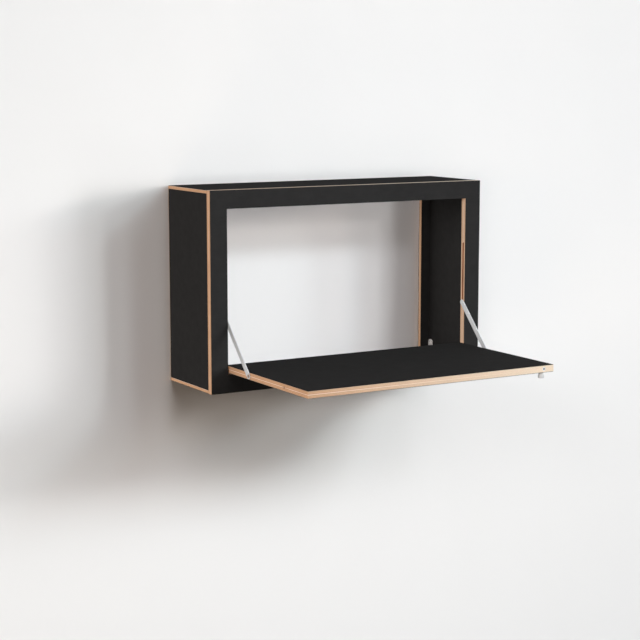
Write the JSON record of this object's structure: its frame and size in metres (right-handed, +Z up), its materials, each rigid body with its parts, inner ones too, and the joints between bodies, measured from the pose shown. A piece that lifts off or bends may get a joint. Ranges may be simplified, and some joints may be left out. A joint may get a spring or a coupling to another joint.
{
  "type": "fold down wall desk",
  "caption": "Open-backed wall-hung plywood case whose front flap folds down on hidden pins and slotted stays into a level writing surface, held shut by a turn latch.",
  "frame": {"origin": "on the wall plane, in the middle of the case's width and height, which is the centre of the four wall screws", "axes": "+X along the case's width to the right as seen from the front, +Y into the wall, +Z up"},
  "size_m": [0.8, 0.6165, 0.5],
  "materials": {
    "film_faced_plywood": "satin black film on both faces, bare birch-coloured plywood edges",
    "beech": "raw fluted dowel",
    "zinc_steel": "bright zinc",
    "stay_steel": "satin stainless steel",
    "satin_aluminium": "satin turned",
    "nylon": "natural nylon"
  },
  "bodies": {
    "case": {"front_frame": "film_faced_plywood", "top_panel": "film_faced_plywood", "bottom_panel": "film_faced_plywood", "left_side_panel": "film_faced_plywood", "right_side_panel": "film_faced_plywood", "left_wall_batten": "film_faced_plywood", "right_wall_batten": "film_faced_plywood", "case_dowels": "beech", "frame_dowels": "beech", "batten_dowels": "beech", "left_corner_brace": "zinc_steel", "right_corner_brace": "zinc_steel", "brace_screws": "zinc_steel", "left_hinge_bush": "nylon", "right_hinge_bush": "nylon", "strike_ferrule": "stay_steel"},
    "flap": {"flap_panel": "film_faced_plywood", "left_hinge_pin": "stay_steel", "right_hinge_pin": "stay_steel", "left_stay_screw": "stay_steel", "right_stay_screw": "stay_steel", "left_stay_washer": "nylon", "right_stay_washer": "nylon", "latch_ferrule": "stay_steel", "latch_cover_plate": "stay_steel", "latch_cover_screws": "stay_steel"},
    "left_stay": {"left_stay_bar": "stay_steel", "left_stay_rivet": "stay_steel"},
    "right_stay": {"right_stay_bar": "stay_steel", "right_stay_rivet": "stay_steel"},
    "left_roller": {"left_slide_roller": "nylon"},
    "right_roller": {"right_slide_roller": "nylon"},
    "knob": {"latch_knob": "satin_aluminium", "latch_spindle": "stay_steel", "knob_set_screw": "stay_steel"},
    "bolt": {"latch_bolt": "stay_steel"}
  },
  "joints": [
    {"name": "flap_hinge", "type": "hinge", "parent": "case", "child": "flap", "pos_m": [0, -0.223, -0.1915], "axis": [-1, 0, 0], "range_deg": [0, 90]},
    {"name": "left_stay_pivot", "type": "hinge", "parent": "flap", "child": "left_stay", "pos_m": [-0.3526, -0.335, -0.1915], "axis": [1, 0, 0], "range_deg": [0, 133.45]},
    {"name": "right_stay_pivot", "type": "hinge", "parent": "flap", "child": "right_stay", "pos_m": [0.3526, -0.335, -0.1915], "axis": [1, 0, 0], "range_deg": [0, 133.45]},
    {"name": "left_roller_slide", "type": "slide", "parent": "case", "child": "left_roller", "axis": [0, 0, 1], "range_m": [0, 0.1566]},
    {"name": "right_roller_slide", "type": "slide", "parent": "case", "child": "right_roller", "axis": [0, 0, 1], "range_m": [0, 0.1566]},
    {"name": "latch_turn", "type": "hinge", "parent": "flap", "child": "knob", "pos_m": [0.322, -0.6045, -0.2005], "axis": [0, 0, -1], "range_deg": [0, 90]},
    {"name": "bolt_slide", "type": "slide", "parent": "flap", "child": "bolt", "axis": [0, -1, 0], "range_m": [0, 0.00566]}
  ],
  "couplings": [
    {"joint": "left_stay_pivot", "follows": "flap_hinge", "ratio": 1.4822},
    {"joint": "right_stay_pivot", "follows": "flap_hinge", "ratio": 1.4822},
    {"joint": "left_roller_slide", "follows": "flap_hinge", "m_per_rad": 0.099677},
    {"joint": "right_roller_slide", "follows": "flap_hinge", "m_per_rad": 0.099677},
    {"joint": "bolt_slide", "follows": "latch_turn", "m_per_rad": 0.0036013}
  ]
}
